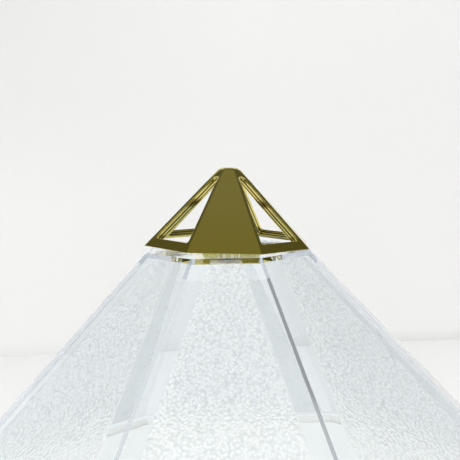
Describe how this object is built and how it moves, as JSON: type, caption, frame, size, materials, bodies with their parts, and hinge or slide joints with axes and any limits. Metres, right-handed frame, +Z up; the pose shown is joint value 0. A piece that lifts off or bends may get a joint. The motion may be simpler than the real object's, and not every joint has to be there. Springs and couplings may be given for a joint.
{
  "type": "metronome",
  "caption": "Battery metronome: flash-beat works in a low octagonal base under a clear textured octagonal case with a gold openwork cap.",
  "frame": {"origin": "middle of the footprint, with the tempo knob and the earphone socket counted in, on the surface the feet stand on", "axes": "+Z up, -Y towards the front panel with the tempo knob, +X to the right of someone facing the front"},
  "size_m": [0.202, 0.2172, 0.15],
  "materials": {
    "white_plastic": "fine satin moulded",
    "clear_acrylic": "clear, polished margins, pebbled panel centres",
    "gold_plate": "polished, lacquered",
    "frosted_lens": "frosted, translucent",
    "grey_rubber": "matte",
    "nickel_steel": "nickel plated",
    "circuit_board": "green solder mask",
    "black_plastic": "satin",
    "speaker_paper": "pressed, matte",
    "cell_jacket": "plain printed jacket, no marks",
    "scale_plate": "satin white with dark numbers",
    "lamp_emitter": "phosphor under clear resin"
  },
  "bodies": {
    "base": {"base_housing": "white_plastic", "bottom_cover": "white_plastic", "reflector_floor": "white_plastic", "lamp_lens": "frosted_lens", "rubber_foot_1": "grey_rubber", "rubber_foot_2": "grey_rubber", "rubber_foot_3": "grey_rubber", "rubber_foot_4": "grey_rubber", "base_screw_1": "nickel_steel", "base_screw_2": "nickel_steel", "base_screw_3": "nickel_steel", "base_screw_4": "nickel_steel", "board_screw_1": "nickel_steel", "board_screw_2": "nickel_steel", "lamp_heat_sink": "nickel_steel", "speaker_frame": "nickel_steel", "tempo_pot": "nickel_steel", "tempo_nut": "nickel_steel", "battery_contact": "nickel_steel", "battery_spring_1": "nickel_steel", "battery_spring_2": "nickel_steel", "battery_spring_3": "nickel_steel", "socket_nut": "nickel_steel", "circuit_board": "circuit_board", "lamp_board": "circuit_board", "timer_chip": "black_plastic", "amplifier_chip": "black_plastic", "supply_capacitor": "black_plastic", "speaker_capacitor": "black_plastic", "speaker_magnet": "black_plastic", "volume_pot": "black_plastic", "power_switch": "black_plastic", "tap_switch": "black_plastic", "battery_box": "black_plastic", "earphone_socket": "black_plastic", "speaker_cone": "speaker_paper", "battery_cell_1": "cell_jacket", "battery_cell_2": "cell_jacket", "battery_cell_3": "cell_jacket", "tempo_dial": "scale_plate", "lamp_led": "lamp_emitter"},
    "case": {"clear_case": "clear_acrylic", "gold_cap": "gold_plate", "cap_post": "nickel_steel", "cap_plate": "gold_plate", "cap_screw": "nickel_steel"},
    "tempo": {"tempo_knob": "gold_plate", "tempo_shaft": "nickel_steel", "tempo_pointer": "black_plastic"},
    "volume": {"volume_wheel": "black_plastic"},
    "power": {"power_slider": "gold_plate"},
    "tap": {"tap_button": "gold_plate"},
    "door": {"battery_door": "white_plastic", "door_contact": "nickel_steel", "door_pin": "nickel_steel"}
  },
  "joints": [
    {"name": "case_lift", "type": "slide", "parent": "base", "child": "case", "axis": [0, 0, 1], "range_m": [0, 0.13]},
    {"name": "tempo_turn", "type": "hinge", "parent": "base", "child": "tempo", "pos_m": [0, -0.09765, 0.021], "axis": [0, 1, 0], "range_deg": [-140, 140]},
    {"name": "volume_turn", "type": "hinge", "parent": "base", "child": "volume", "pos_m": [-0.03, -0.08895, 0.021], "axis": [0, 0, 1], "range_deg": [-135, 135]},
    {"name": "power_slide", "type": "slide", "parent": "base", "child": "power", "axis": [1, 0, 0], "range_m": [0, 0.004]},
    {"name": "tap_press", "type": "slide", "parent": "base", "child": "tap", "axis": [0, 1, 0], "range_m": [0, 0.0008], "stiffness_N_per_m": 250},
    {"name": "door_swing", "type": "hinge", "parent": "base", "child": "door", "pos_m": [0, 0.10485, 0.0099], "axis": [-1, 0, 0], "range_deg": [0, 90]}
  ]
}
